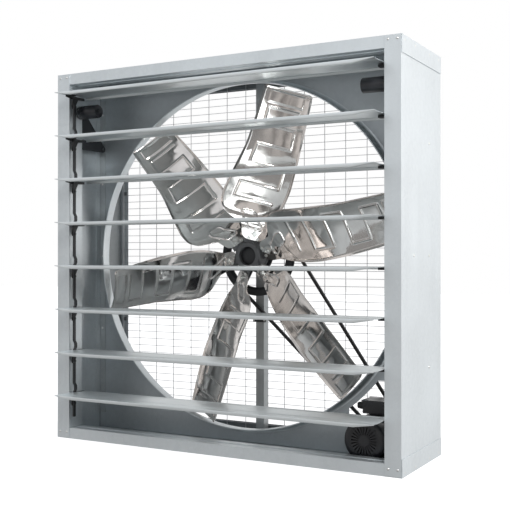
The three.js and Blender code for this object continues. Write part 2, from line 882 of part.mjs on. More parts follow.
function addCasing() {
  const topPanel = piece("top_panel", endPanel(), GALVANISED());
  topPanel.rotation.y = Math.PI;
  topPanel.position.z = CASING_HEIGHT;
  const mirrored = new THREE.Group();
  mirrored.scale.x = -1;
  mirrored.add(
    piece("left_panel", sidePanel(), GALVANISED()),
    piece("venturi_strip_left", venturiStrip(), GALVANISED()),
    piece("hammer_arm_left", hammerArm(), CAST_BLACK()),
    piece("hammer_weight_left", hammerWeight(), CAST_BLACK()),
  );
  fan.add(
    topPanel,
    mirrored,
    piece("bottom_panel", endPanel(), GALVANISED()),
    piece("right_panel", sidePanel(), GALVANISED()),
    piece("venturi_panel", venturiPanel(), GALVANISED()),
    piece("venturi_strip_right", venturiStrip(), GALVANISED()),
    piece("hammer_arm_right", hammerArm(), CAST_BLACK()),
    piece("hammer_weight_right", hammerWeight(), CAST_BLACK()),
    piece("centre_strut", centreStrut(), GALVANISED()),
    piece("strut_clip", strutClip(), BLACK_PLASTIC()),
    piece("rear_guard", rearGuard(), GUARD_WIRE()),
  );
}

function addImpeller() {
  const impeller = new THREE.Group();
  impeller.position.z = AXIS_HEIGHT;
  impeller.add(
    piece("axle", axle(), STEEL()),
    piece("hub", hub(), CAST_BLACK()),
    piece("hub_cap", hubCap(), BLACK_PLASTIC()),
    piece("hub_bearing_front", bearing(268.3), STEEL()),
    piece("hub_bearing_rear", bearing(306.3), STEEL()),
    piece("driven_pulley", drivenPulley(), CAST_BLACK()),
    piece("v_belt", vBelt(), RUBBER()),
  );
  for (let i = 0; i < BLADE_COUNT; i++) {
    const arm = new THREE.Group();
    arm.rotation.y = bladeTurn(i);
    arm.add(
      piece(`blade_${i + 1}`, blade(), STAINLESS()),
      piece(`blade_clamp_${i + 1}`, bladeClamp(), STEEL()),
    );
    impeller.add(arm);
  }
  fan.add(impeller);
}

function addMotor() {
  const motor = new THREE.Group();
  motor.position.set(MOTOR.x, 0, MOTOR.z);
  motor.add(
    piece("motor_frame", motorFrame(), CAST_BLACK()),
    piece("motor_shield_rear", motorShieldRear(), CAST_BLACK()),
    piece("motor_stator", motorStator(), STEEL()),
    piece("motor_rotor", motorRotor(), STEEL()),
    piece("motor_fan", motorFan(), BLACK_PLASTIC()),
    piece("motor_fan_cover", motorFanCover(), CAST_BLACK()),
    piece("motor_pulley", motorPulley(), CAST_BLACK()),
    piece("terminal_box", terminalBox(), CAST_BLACK()),
    piece("cable_gland", cableGland(), BLACK_PLASTIC()),
  );
  fan.add(motor, piece("motor_base", motorBase(), CAST_BLACK()));
}

function addLouvers() {
  for (let i = 0; i < LOUVER_COUNT; i++) {
    const pivot = new THREE.Group();
    pivot.position.set(0, deep(LOUVER_DEPTH), louverHeight(i));
    pivot.add(
      piece(`louver_${i + 1}`, louver(), LOUVER_METAL()),
      piece(`crank_${i + 1}`, crank(), BLACK_PLASTIC()),
    );
    fan.add(pivot);
  }
  const bar = piece("link_bar", linkBar(), BLACK_PLASTIC());
  bar.position.set(0, deep(LOUVER_DEPTH) + CRANK_PIN.y, LOUVER_TOP + CRANK_PIN.z);
  fan.add(bar);
}

addCasing();
addImpeller();
addMotor();
addLouvers();

export default fan;
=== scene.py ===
"""Box exhaust fan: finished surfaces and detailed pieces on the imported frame.

Lengths in this script are millimetres and become metres in build(). +X is right, +Y is back and
+Z is up, seen from the louver side. Depths count back from the casing's front face.
"""

import math

import bmesh
import bpy
from mathutils import Matrix, Vector
from mathutils.geometry import tessellate_polygon


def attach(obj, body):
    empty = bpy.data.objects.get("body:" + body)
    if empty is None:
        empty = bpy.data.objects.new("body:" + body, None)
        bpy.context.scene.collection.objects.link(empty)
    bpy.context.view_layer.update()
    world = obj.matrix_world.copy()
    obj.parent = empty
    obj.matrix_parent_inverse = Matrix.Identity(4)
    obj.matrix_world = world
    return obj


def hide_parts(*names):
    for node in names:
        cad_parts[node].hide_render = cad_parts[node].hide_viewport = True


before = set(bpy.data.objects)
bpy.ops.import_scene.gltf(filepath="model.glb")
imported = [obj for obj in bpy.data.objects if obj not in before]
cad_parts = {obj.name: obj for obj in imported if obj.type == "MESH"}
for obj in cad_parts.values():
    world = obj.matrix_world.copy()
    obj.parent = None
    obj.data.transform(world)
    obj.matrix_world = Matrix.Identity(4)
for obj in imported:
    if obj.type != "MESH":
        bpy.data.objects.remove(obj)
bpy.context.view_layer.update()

MM = 0.001
SIZE = 1380
DEPTH = 400
AXIS = SIZE / 2
PANEL = 255  # depth of the venturi panel's front face
COLLAR_FRONT = 208
COLLAR_RADIUS = 633
SIDE_FACE = 687.7  # where a fastener's seat meets a side panel's outer face
BLADES = 6
BLADE_PHASE = 73
BELT_DEPTH = 336
DRIVEN_RADIUS = 142  # pitch radius of the pulley on the hub
DRIVER_RADIUS = 49  # pitch radius of the pulley on the motor
DRIVEN_BORE = 26
DRIVER_BORE = 12.4
SPOKES = 6
MOTOR_X = 525
MOTOR_Z = 84.5
LOUVERS = 8
LOUVER_TOP = 1293
LOUVER_PITCH = 160.4
LOUVER_DEPTH = 30
LOUVER_HALF = 630


def deep(depth):
    return depth - DEPTH / 2


# ------------------------------------------------------------------ materials


class Shader:
    """A material being built: its tree, its Principled shader and its object coordinates."""

    def __init__(self, name, color, roughness, metallic):
        self.material = bpy.data.materials.new(name)
        self.material.use_nodes = True
        self.tree = self.material.node_tree
        self.bsdf = self.tree.nodes["Principled BSDF"]
        self.bsdf.inputs["Metallic"].default_value = metallic
        self.bsdf.inputs["Base Color"].default_value = (*color, 1)
        self.bsdf.inputs["Roughness"].default_value = roughness
        self.coordinates = self.node("ShaderNodeTexCoord").outputs["Object"]
        self.height = None

    def node(self, kind, **values):
        made = self.tree.nodes.new(kind)
        for key, value in values.items():
            setattr(made, key, value)
        return made

    def link(self, out, into):
        self.tree.links.new(out, into)
        return out

    def noise(self, scale, detail=3.0, stretch=(1, 1, 1), distortion=0.0):
        mapping = self.node("ShaderNodeMapping")
        mapping.inputs["Scale"].default_value = stretch
        self.link(self.coordinates, mapping.inputs["Vector"])
        noise = self.node("ShaderNodeTexNoise")
        noise.inputs["Scale"].default_value = scale
        noise.inputs["Detail"].default_value = detail
        noise.inputs["Distortion"].default_value = distortion
        self.link(mapping.outputs["Vector"], noise.inputs["Vector"])
        return noise.outputs["Fac"]

    def spangle(self, scale):
        cells = self.node("ShaderNodeTexVoronoi")
        cells.inputs["Scale"].default_value = scale
        self.link(self.coordinates, cells.inputs["Vector"])
        grey = self.node("ShaderNodeSeparateColor")
        self.link(cells.outputs["Color"], grey.inputs["Color"])
        return grey.outputs["Red"]

    def remap(self, value, low, high, start=0.0, end=1.0):
        ranged = self.node("ShaderNodeMapRange")
        ranged.inputs["From Min"].default_value = start
        ranged.inputs["From Max"].default_value = end
        ranged.inputs["To Min"].default_value = low
        ranged.inputs["To Max"].default_value = high
        self.link(value, ranged.inputs["Value"])
        return ranged.outputs["Result"]

    def combine(self, operation, a, b):
        maths = self.node("ShaderNodeMath", operation=operation)
        for value, socket in zip((a, b), maths.inputs):
            if isinstance(value, float):
                socket.default_value = value
            else:
                self.link(value, socket)
        return maths.outputs["Value"]

    def tint(self, factor, other):
        """The base colour turns to other where factor is high."""
        mix = self.node("ShaderNodeMix", data_type="RGBA")
        source = self.bsdf.inputs["Base Color"]
        if source.is_linked:
            self.link(source.links[0].from_socket, mix.inputs["A"])
        else:
            mix.inputs["A"].default_value = source.default_value
        mix.inputs["B"].default_value = (*other, 1)
        self.link(factor, mix.inputs["Factor"])
        self.link(mix.outputs["Result"], source)

    def rear_chamber_shade_mask(self):
        """High on the inner faces behind the venturi panel. The casing never moves, so places are fixed."""
        # painted shade: this mask marks where the casing's inside is darkened as if in shadow
        axes = self.node("ShaderNodeSeparateXYZ")
        self.link(self.node("ShaderNodeNewGeometry").outputs["Position"], axes.inputs["Vector"])
        across = self.combine("ABSOLUTE", axes.outputs["X"], 0.0)
        height = self.combine("ABSOLUTE", self.combine("SUBTRACT", axes.outputs["Z"], AXIS * MM), 0.0)
        beside = self.combine("LESS_THAN", across, (SIDE_FACE - 0.7) * MM)
        within = self.combine("MULTIPLY", beside, self.combine("LESS_THAN", height, (AXIS - 1.4) * MM))
        behind = self.remap(axes.outputs["Y"], 0, 1, deep(PANEL - 8) * MM, deep(PANEL + 4) * MM)
        ahead = self.combine("LESS_THAN", axes.outputs["Y"], deep(DEPTH - 2.6) * MM)
        return self.combine("MULTIPLY", within, self.combine("MULTIPLY", behind, ahead))

    def rough(self, value):
        self.link(value, self.bsdf.inputs["Roughness"])

    def bump(self, height, distance, strength=1.0):
        bump = self.node("ShaderNodeBump")
        bump.inputs["Distance"].default_value = distance
        bump.inputs["Strength"].default_value = strength
        self.link(height, bump.inputs["Height"])
        if self.height:
            self.link(self.height, bump.inputs["Normal"])
        self.height = bump.outputs["Normal"]
        self.link(self.height, self.bsdf.inputs["Normal"])


def galvanised(name, color, roughness=0.42, metallic=0.75, spangle=0.22, rear_shade=None):
    """Zinc-coated sheet: a faint crystal pattern, cloudy patches and a slightly wavy surface.

    With a rear shade colour, painted shade darkens the casing's inside behind the venturi panel, in cloudy
    patches.
    """
    shader = Shader(name, color, roughness, metallic)
    dark = tuple(c * 0.8 for c in color)
    light = tuple(min(1, c * 1.12) for c in color)
    crystals = shader.spangle(70)
    clouds = shader.noise(3.5, 4)
    shader.tint(shader.remap(crystals, 0, spangle), dark)
    shader.tint(shader.remap(clouds, 0, 0.5, 0.35, 0.75), light)
    shader.tint(shader.remap(shader.noise(9, 5, (1, 1, 0.15)), 0, 0.35, 0.5, 0.8), dark)
    if rear_shade:
        # painted shade: the inner faces behind the venturi panel turn most of the way to the dark shade
        # colour, varied by the clouds
        shader.tint(shader.combine("MULTIPLY", shader.rear_chamber_shade_mask(), shader.remap(clouds, 0.7, 0.9)), rear_shade)
    varied = shader.combine("ADD", shader.remap(crystals, -0.05, 0.06), shader.remap(clouds, -0.06, 0.08))
    shader.rough(shader.combine("ADD", varied, roughness))
    shader.bump(shader.noise(5, 2), 0.0016, 0.35)
    shader.bump(crystals, 0.00004, 0.5)
    return shader.material


def brushed(name, color, roughness=0.36, metallic=0.85, along=(0.02, 1, 1)):
    """Drawn metal: fine lines along one direction, and soft patches."""
    shader = Shader(name, color, roughness, metallic)
    lines = shader.noise(900, 2, along)
    patches = shader.noise(6, 3)
    shader.tint(shader.remap(lines, 0, 0.35, 0.4, 0.7), tuple(c * 0.75 for c in color))
    shader.tint(shader.remap(patches, 0, 0.35, 0.4, 0.8), tuple(min(1, c * 1.15) for c in color))
    shader.rough(shader.combine("ADD", shader.remap(lines, -0.06, 0.08), roughness))
    shader.bump(lines, 0.00003, 0.5)
    return shader.material


def polished(name, color):
    """Polished stainless sheet: slow ripples from pressing, wipe marks and fine scratches."""
    shader = Shader(name, color, 0.1, 1.0)
    smears = shader.noise(7, 5, (1, 1, 1), 1.2)
    scratches = shader.noise(260, 2, (1, 0.06, 0.5))
    shader.tint(shader.remap(smears, 0, 0.45, 0.45, 0.75), tuple(c * 0.72 for c in color))
    smeared = shader.remap(smears, 0.03, 0.16, 0.35, 0.8)
    scratched = shader.remap(scratches, 0, 0.06, 0.4, 0.8)
    shader.rough(shader.combine("ADD", smeared, scratched))
    shader.bump(shader.noise(11, 2.0), 0.004, 0.45)
    shader.bump(scratches, 0.00002, 0.4)
    return shader.material


def cast(name, color, roughness=0.62, grain=380, metallic=0.15):
    """Black-painted casting: a grainy skin with dust in its hollows."""
    shader = Shader(name, color, roughness, metallic)
    grains = shader.noise(grain, 4)
    dust = shader.noise(14, 5)
    shader.tint(shader.remap(dust, 0, 0.6, 0.5, 0.8), tuple(c * 2.1 + 0.02 for c in color))
    shader.rough(shader.combine("ADD", shader.remap(dust, -0.08, 0.15), roughness))
    shader.bump(grains, 0.0007, 0.6)
    return shader.material


def painted(name, color, roughness=0.38):
    """Gloss paint with orange peel, fine dust and paler rubbed patches."""
    shader = Shader(name, color, roughness, 0.0)
    rubbed = shader.noise(11, 6)
    shader.tint(shader.remap(rubbed, 0, 0.5, 0.55, 0.85), tuple(c * 2.4 + 0.015 for c in color))
    shader.rough(shader.combine("ADD", shader.remap(rubbed, -0.08, 0.2, 0.3, 0.8), roughness))
    shader.bump(shader.noise(240, 2), 0.0003, 0.45)
    shader.bsdf.inputs["Coat Weight"].default_value = 0.15
    shader.bsdf.inputs["Coat Roughness"].default_value = 0.25
    return shader.material


def moulded(name, color, roughness=0.5, grain=700):
    """Moulded plastic or rubber: a fine matt grain and uneven gloss."""
    shader = Shader(name, color, roughness, 0.0)
    gloss = shader.noise(18, 4)
    shader.tint(shader.remap(gloss, 0, 0.5, 0.5, 0.8), tuple(c * 1.7 + 0.01 for c in color))
    shader.rough(shader.combine("ADD", shader.remap(gloss, -0.1, 0.14, 0.3, 0.8), roughness))
    shader.bump(shader.noise(grain, 2), 0.00025, 0.5)
    return shader.material


# The dark colour given to the casing sheet is painted shade on its inner faces behind the venturi panel.
SHEET = galvanised("galvanised_sheet", (0.64, 0.68, 0.7), rear_shade=(0.13, 0.14, 0.145))
# A darker copy of the galvanised sheet: painted shade on the venturi panel inside the casing.
SHADED_PANEL_SHEET = galvanised("galvanised_panel_painted_shade", (0.47, 0.51, 0.535), 0.4, 0.65)
COLLAR_SHEET = galvanised("galvanised_collar", (0.66, 0.7, 0.72), 0.36, 0.7)
STRUT_SHEET = galvanised("galvanised_strut", (0.38, 0.4, 0.41), 0.45, 0.6)
LOUVER_SHEET = brushed("louver_aluminium", (0.72, 0.76, 0.77))
STAINLESS = polished("blade_stainless", (0.68, 0.65, 0.625))
BRIGHT = brushed("bright_steel", (0.6, 0.6, 0.6), 0.28, 0.95, (1, 0.05, 1))
ZINC = brushed("zinc_plated", (0.72, 0.72, 0.7), 0.3, 0.9, (1, 1, 1))
WIRE = galvanised("guard_wire", (0.5, 0.51, 0.53), 0.45, 0.6, 0.1)
CAST = cast("cast_black", (0.028, 0.03, 0.033))
CAST_HUB = cast("cast_hub", (0.12, 0.123, 0.126), 0.5, 380, 0.45)
PAINT = painted("painted_black", (0.014, 0.015, 0.019), 0.3)
PLASTIC = moulded("black_plastic", (0.014, 0.015, 0.017))
RUBBER = moulded("belt_rubber", (0.016, 0.016, 0.017), 0.72, 420)

# ------------------------------------------------------------------ mesh building


def finished(obj, material, angle=32.0, bevel=0.0):
    obj.data.materials.clear()
    obj.data.materials.append(material)
    if bevel:
        edge = obj.modifiers.new("edges", "BEVEL")
        edge.width = bevel * MM
        edge.segments = 2
        edge.limit_method = "ANGLE"
        edge.angle_limit = math.radians(35)
        edge.harden_normals = True
    obj.data.shade_smooth()
    obj.data.set_sharp_from_angle(angle=math.radians(angle))
    return obj


def as_mesh(bm, name):
    """Turns a bmesh in millimetres into a mesh in metres."""
    bmesh.ops.remove_doubles(bm, verts=bm.verts, dist=0.001)
    bmesh.ops.recalc_face_normals(bm, faces=bm.faces)
    bmesh.ops.scale(bm, vec=(MM, MM, MM), verts=bm.verts)
    mesh = bpy.data.meshes.new(name)
    bm.to_mesh(mesh)
    bm.free()
    return mesh


def build(name, bm, material, body, stands_for=(), bevel=0.0, angle=32.0):
    """Turns a bmesh in millimetres into a piece that rides on a body."""
    return placed(name, as_mesh(bm, name), material, body, stands_for, bevel, angle)


def placed(name, mesh, material, body, stands_for=(), bevel=0.0, angle=32.0, matrix=None):
    obj = bpy.data.objects.new(name, mesh)
    bpy.context.scene.collection.objects.link(obj)
    finished(obj, material, angle, bevel)
    if matrix is not None:
        obj.matrix_world = matrix
    bpy.context.view_layer.update()
    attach(obj, body)
    if stands_for:
        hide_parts(*([stands_for] if isinstance(stands_for, str) else stands_for))
    return obj


def cad(name, material, bevel=0.5):
    """A CAD node keeps its shape and gets a finish and soft edges."""
    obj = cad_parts[name]
    weld = obj.modifiers.new("weld", "WELD")
    weld.merge_threshold = 0.00001
    edge = obj.modifiers.new("edges", "BEVEL")
    edge.width = bevel * MM
    edge.segments = 2
    edge.limit_method = "ANGLE"
    edge.angle_limit = math.radians(30)
    obj.data.materials.clear()
    obj.data.materials.append(material)
    return obj


def arc(centre, radius, start, end, steps):
    return [
        (
            centre[0] + radius * math.cos(math.radians(start + (end - start) * i / steps)),
            centre[1] + radius * math.sin(math.radians(start + (end - start) * i / steps)),
        )
        for i in range(steps + 1)
    ]


def circle(centre, radius, steps):
    return arc(centre, radius, 0, 360, steps)[:-1]


def rounded(points, radius, steps=5):
    """The outline with its corners rounded. A corner's own radius may be its third number."""
    out = []
    count = len(points)
    for i, point in enumerate(points):
        r = point[2] if len(point) > 2 else radius
        here = Vector(point[:2])
        before = (Vector(points[i - 1][:2]) - here).normalized()
        after = (Vector(points[(i + 1) % count][:2]) - here).normalized()
        half = before.angle(after) / 2
        if r <= 0 or half > math.radians(88):
            out.append(tuple(here))
            continue
        reach = r / math.tan(half)
        middle = here + (before + after).normalized() * (r / math.sin(half))
        a = here + before * reach - middle
        b = here + after * reach - middle
        for k in range(steps + 1):
            spoke = a.slerp(b, k / steps) if a.angle(b) > 1e-4 else a
            out.append(tuple(middle + spoke))
    return out


def plate(bm, outline, holes, y0, y1):
    """A flat plate across Y, from its outline and holes in (x, z)."""
    loops = [list(outline)] + [list(h) for h in holes]
    flat = [p for loop in loops for p in loop]
    triangles = tessellate_polygon([[Vector((x, z, 0)) for x, z in loop] for loop in loops])
    sides = [[bm.verts.new((x, y, z)) for x, z in flat] for y in (y0, y1)]
    for verts in sides:
        for tri in triangles:
            bm.faces.new([verts[i] for i in tri])
    start = 0
    for loop in loops:
        n = len(loop)
        for i in range(n):
            a, b = start + i, start + (i + 1) % n
            bm.faces.new((sides[0][a], sides[0][b], sides[1][b], sides[1][a]))
        start += n
    return sides[0] + sides[1]


def lathe(bm, profile, segments, centre=(0, 0), close=True):
    """A profile of (radius, y) turned about a Y axis through centre = (x, z)."""
    rings = []
    for k in range(segments):
        a = 2 * math.pi * k / segments
        rings.append(
            [bm.verts.new((centre[0] + r * math.cos(a), y, centre[1] + r * math.sin(a))) for r, y in profile]
        )
    count = len(profile)
    for k in range(segments):
        one, two = rings[k], rings[(k + 1) % segments]
        for i in range(count if close else count - 1):
            j = (i + 1) % count
            corners = [one[i], one[j], two[j], two[i]]
            if profile[i][0] < 1e-6:
                corners.remove(two[i])
            if profile[j][0] < 1e-6:
                corners.remove(two[j])
            if len(corners) > 2:
                bm.faces.new(corners)
    return [v for ring in rings for v in ring]


def prism_x(bm, outline, x0, x1):
    """An outline in (y, z), run along X."""
    verts = plate(bm, outline, [], x0, x1)
    for v in verts:
        y, x, z = v.co
        v.co = (x, y, z)
    return verts


def box(bm, x, y, z):
    return plate(bm, [(x[0], z[0]), (x[1], z[0]), (x[1], z[1]), (x[0], z[1])], [], y[0], y[1])


def moved(bm, verts, matrix):
    bmesh.ops.transform(bm, matrix=matrix, verts=verts)
    return verts


def bent(path, thickness, radius):
    """The closed outline of a folded sheet: a path, its corners rounded, and its left-hand face."""
    line = []
    for i, point in enumerate(path):
        if i in (0, len(path) - 1):
            line.append(Vector(point))
            continue
        here = Vector(point)
        before = (Vector(path[i - 1]) - here).normalized()
        after = (Vector(path[i + 1]) - here).normalized()
        half = before.angle(after) / 2
        if half > math.radians(88):
            line.append(here)
            continue
        reach = min(radius / math.tan(half), 0.45 * (Vector(path[i - 1]) - here).length)
        r = reach * math.tan(half)
        middle = here + (before + after).normalized() * (r / math.sin(half))
        a = here + before * reach - middle
        b = here + after * reach - middle
        line += [middle + a.slerp(b, k / 4) for k in range(5)]
    left = []
    for i, point in enumerate(line):
        step = line[min(i + 1, len(line) - 1)] - line[max(i - 1, 0)]
        left.append(point + Vector((-step.y, step.x)).normalized() * thickness)
    return [tuple(p) for p in line + left[::-1]]


# A fastener is made with its head towards -Y, then turned to face out of the surface.
FACING = {
    "-y": Matrix.Identity(4),
    "+y": Matrix.Rotation(math.pi, 4, "Z"),
    "+x": Matrix.Rotation(math.pi / 2, 4, "Z"),
    "-x": Matrix.Rotation(-math.pi / 2, 4, "Z"),
    "+z": Matrix.Rotation(-math.pi / 2, 4, "X"),
    "-z": Matrix.Rotation(math.pi / 2, 4, "X"),
}


def at(x, y, z, facing="-y", spin=0.0):
    return Matrix.Translation((x, y, z)) @ FACING[facing] @ Matrix.Rotation(math.radians(spin), 4, "Y")


def hex_bolt(bm, matrix, size=8.0, washer=1.25):
    """A hexagon head over a round washer. size is the thread's diameter."""
    flange = size * washer
    head = size * 0.92
    disc = [(0, 0), (flange, 0), (flange, -0.12 * size), (flange * 0.96, -0.18 * size), (0, -0.18 * size)]
    hexagon = [(0, -0.1 * size), (head, -0.1 * size), (head, -0.72 * size), (head * 0.86, -0.85 * size)]
    hexagon.append((0, -0.85 * size))
    verts = lathe(bm, disc, 24) + lathe(bm, hexagon, 6)
    return moved(bm, verts, matrix)


def sheet_screw(bm, matrix, size=4.5):
    """A small pan head with a recess, standing on its own rim."""
    profile = [(0, 0), (1, 0), (1, 0.16), (0.88, 0.34), (0.55, 0.48), (0.3, 0.49), (0.24, 0.25), (0, 0.22)]
    return moved(bm, lathe(bm, [(size * r, -size * h) for r, h in profile], 20), matrix)


def rivet(bm, matrix, size=4.0, height=0.5):
    """A blind rivet's domed head with its broken stem in the middle."""
    profile = [(0, 0), (1, 0), (0.95, 0.4), (0.7, 0.84), (0.36, 1), (0.34, 0.6), (0, 0.56)]
    return moved(bm, lathe(bm, [(size * r, -size * height * h) for r, h in profile], 20), matrix)


# ------------------------------------------------------------------ casing


def casing():
    for name in ("top_panel", "bottom_panel", "left_panel", "right_panel"):
        cad(name, SHEET, 0.9)
    for side in ("left", "right"):
        cad(f"venturi_strip_{side}", SHEET, 0.6)
    screws = bmesh.new()
    rivets = bmesh.new()
    for side, facing in ((-1, "-x"), (1, "+x")):
        for depth, z in ((272, 317), (272, 1066), (119, AXIS), (272, AXIS)):
            sheet_screw(screws, at(side * SIDE_FACE, deep(depth), z, facing))
        for depth in (29, 129, 272, 371):
            for z in (12, SIZE - 15):
                rivet(rivets, at(side * SIZE / 2, deep(depth), z, facing), 4, 0.07)
        for x in (644, 675):
            for z in (24, SIZE - 14):
                rivet(rivets, at(side * x, deep(0), z, "-y"))
        for z in (24, SIZE - 24):
            rivet(rivets, at(side * 630, deep(DEPTH - 2.3), z, "+y"))
    build("casing_screws", screws, ZINC, "casing")
    build("casing_rivets", rivets, ZINC, "casing")


def venturi():
    """The panel's flat sheet with its motor cut-out, its edge flanges, and the pressed collar."""
    reach = SIDE_FACE - 2.6
    low, high = 2.6, SIZE - 2.6
    left, right, top, clear = 405, 655, 262, 668
    y0, y1 = deep(PANEL), deep(PANEL) + 2
    fillet = 15
    mouth = COLLAR_RADIUS + 2 + fillet
    start = -math.degrees(math.acos(left / clear))
    end = math.degrees(math.asin((top - AXIS) / clear))
    notch = arc((0, AXIS), clear, start, end, 12)
    outline = [(-reach, low), (left, low), *notch, (right, top), (right, low)]
    outline += [(reach, low), (reach, high), (-reach, high)]
    sheet = bmesh.new()
    plate(sheet, outline, [circle((0, AXIS), mouth, 192)], y0, y1)
    box(sheet, (-reach, -reach + 2), (y1 - 0.5, y1 + 25), (low, high))
    box(sheet, (reach - 2, reach), (y1 - 0.5, y1 + 25), (low, high))
    box(sheet, (-reach, reach), (y1 - 0.5, y1 + 25), (high - 2, high))
    box(sheet, (-reach, left), (y1 - 0.5, y1 + 25), (low, low + 2))
    build("venturi_sheet", sheet, SHADED_PANEL_SHEET, "casing", "venturi_panel", angle=25)
    collar = bmesh.new()
    bend = (mouth, y0 - fillet)
    front = deep(COLLAR_FRONT)
    rim = arc((COLLAR_RADIUS + 2.5, front + 2.5), 2.5, 270, 180, 5)
    outside = arc((COLLAR_RADIUS + 2.5, front + 2.5), 2.5, 270, 360, 5)
    profile = [
        *rim,
        *reversed(arc(bend, fillet + 2, 90, 180, 8)),
        (mouth + 1, y1 - 0.05),
        (mouth + 1, y0 + 0.05),
        *arc(bend, fillet, 90, 180, 8),
        (COLLAR_RADIUS + 2, front + 6),
        *reversed(outside),
    ]
    lathe(collar, profile, 192, (0, AXIS))
    build("venturi_collar", collar, COLLAR_SHEET, "casing", "venturi_panel", angle=40)
    fixings = bmesh.new()
    for side in (-1, 1):
        for z in (120, 400, 690, 980, 1260):
            sheet_screw(fixings, at(side * 672, deep(PANEL - 2.3), z), 4.0)
    build("venturi_screws", fixings, ZINC, "casing")


def rear_guard():
    """Welded mesh: uprights in front, cross wires behind, in a heavier frame wire."""
    low, high, half = 14, 1366, 672
    columns, rows = 16, 48
    upright_radius, cross_radius, frame_radius = 1.3, 0.9, 1.9
    wires = bmesh.new()

    def wire(x0, x1, z0, z1, y, r, sides=8):
        along_x = x1 > x0
        length = (x1 - x0) if along_x else (z1 - z0)
        turns = [2 * math.pi * k / sides for k in range(sides)]
        ring = [(r * math.cos(turn), r * math.sin(turn)) for turn in turns]
        ends = []
        for t in (0, length):
            places = [(x0 + t, y + a, z0 + b) if along_x else (x0 + a, y + b, z0 + t) for a, b in ring]
            ends.append([wires.verts.new(place) for place in places])
        for k in range(sides):
            wires.faces.new((ends[0][k], ends[0][(k + 1) % sides], ends[1][(k + 1) % sides], ends[1][k]))
        wires.faces.new(ends[0])
        wires.faces.new(ends[1])

    y = deep(390.2)
    for i in range(columns + 1):
        x = -half + 2 + (2 * half - 4) * i / columns
        wire(x, x, low, high, y - 0.6, upright_radius)
    for i in range(rows + 1):
        z = low + 2 + (high - low - 4) * i / rows
        wire(-half, half, z, z, y + 0.7, cross_radius)
    for z in (low + 2, high - 2):
        wire(-half, half, z, z, y - 0.4, frame_radius)
    for x in (-half + 2, half - 2):
        wire(x, x, low, high, y + 0.4, frame_radius)
    build("guard_mesh", wires, WIRE, "casing", "rear_guard", angle=60)
    clips = bmesh.new()
    for side in (-1, 1):
        for z in (60, 430, 950, 1320):
            box(clips, (side * 664 - 9, side * 664 + 9), (deep(392.6), deep(397.5)), (z - 8, z + 8))
    build("guard_clips", clips, SHEET, "casing", bevel=0.8)


def strut():
    cad("centre_strut", STRUT_SHEET, 0.7)
    cad("strut_clip", PLASTIC, 1.0)
    cad("axle", BRIGHT, 0.6)
    bolts = bmesh.new()
    for z in (AXIS - 32, AXIS + 32):
        hex_bolt(bolts, at(0, deep(350), z), 9)
    for x in (-30, 30):
        for z, facing in ((5.3, "+z"), (SIZE - 5.3, "-z")):
            hex_bolt(bolts, at(x, deep(368), z, facing), 7)
    for x in (-22, 22):
        hex_bolt(bolts, at(x, deep(343.7), 448), 3.5, 1.15)
    build("strut_bolts", bolts, ZINC, "casing")


# ------------------------------------------------------------------ impeller

# radius, chord, shift towards the trailing edge, pitch in degrees, depth of the reference line
STATIONS = [
    (62, 82, 0, 36, 261.5),
    (114, 104, 6, 36, 261.5),
    (150, 205, 40, 36, 254),
    (205, 236, 32, 36, 247),
    (270, 232, 17, 35, 240),
    (400, 200, 2, 26, 236),
    (520, 187, 0, 25, 236),
    (610, 178, 0, 26, 236),
    (622, 158, 0, 26, 236),
]
RIDGES = [204, 264, 342, 413, 484, 548]  # radii where the pressed key pattern crosses the blade
RIDGE_REACH = 0.31  # how far the pattern reaches either side of the middle, as a part of the chord
RIDGE_WIDTH = 5.0
RIDGE_HEIGHT = 2.4
ROOT_PANEL = (101, 164, 27)  # first and last radius and half width of the loop pressed into the root


def smoothstep(low, high, value):
    t = max(0.0, min(1.0, (value - low) / (high - low)))
    return t * t * (3 - 2 * t)


def station(radius):
    i = 1
    while i < len(STATIONS) - 1 and STATIONS[i][0] < radius:
        i += 1
    a, b = STATIONS[i - 1], STATIONS[i]
    t = (radius - a[0]) / (b[0] - a[0])
    return [p + (q - p) * t for p, q in zip(a, b)]


def eased_station(radius):
    """Neighbouring stations averaged, so that the sheet has no creases."""
    if radius < 120:
        return station(radius)
    spread = min(24.0, (radius - 118) * 0.6, max(0.0, (622 - radius) * 0.5))
    rows = [station(radius + spread * k / 3) for k in range(-3, 4)]
    return [sum(column) / len(rows) for column in zip(*rows)]


def to_segment(p, a, b):
    ab = b - a
    t = max(0.0, min(1.0, (p - a).dot(ab) / ab.length_squared))
    return (p - a - ab * t).length


def emboss(radius, c, chord):
    """Height pressed into the sheet: a key-shaped ridge, a loop at the root, a tip panel, rolled edges."""
    point = Vector((radius, c))
    reach = RIDGE_REACH * chord
    nearest = 1e9
    for i, r in enumerate(RIDGES):
        nearest = min(nearest, to_segment(point, Vector((r, -reach)), Vector((r, reach))))
        if i + 1 < len(RIDGES):
            side = reach if i % 2 == 0 else -reach
            nearest = min(nearest, to_segment(point, Vector((r, side)), Vector((RIDGES[i + 1], side))))
    inner, outer, half = ROOT_PANEL
    middle = Vector(((inner + outer) / 2, 0))
    corner = Vector((abs(radius - middle.x) - (outer - inner) / 2 + 14, abs(c) - half + 14))
    loop = Vector((max(corner.x, 0), max(corner.y, 0))).length + min(max(corner.x, corner.y), 0) - 14
    nearest = min(nearest, abs(loop))
    ridge = RIDGE_HEIGHT * (1 - smoothstep(0.1, 1.0, nearest / RIDGE_WIDTH))
    inside = min(radius - 564, 612 - radius, 0.36 * chord - abs(c))
    tip = 2.4 * smoothstep(0, 5, inside)
    rolled = 3.2 * (1 - smoothstep(0, 8, chord / 2 - abs(c))) * smoothstep(130, 180, radius)
    return ridge + tip + rolled


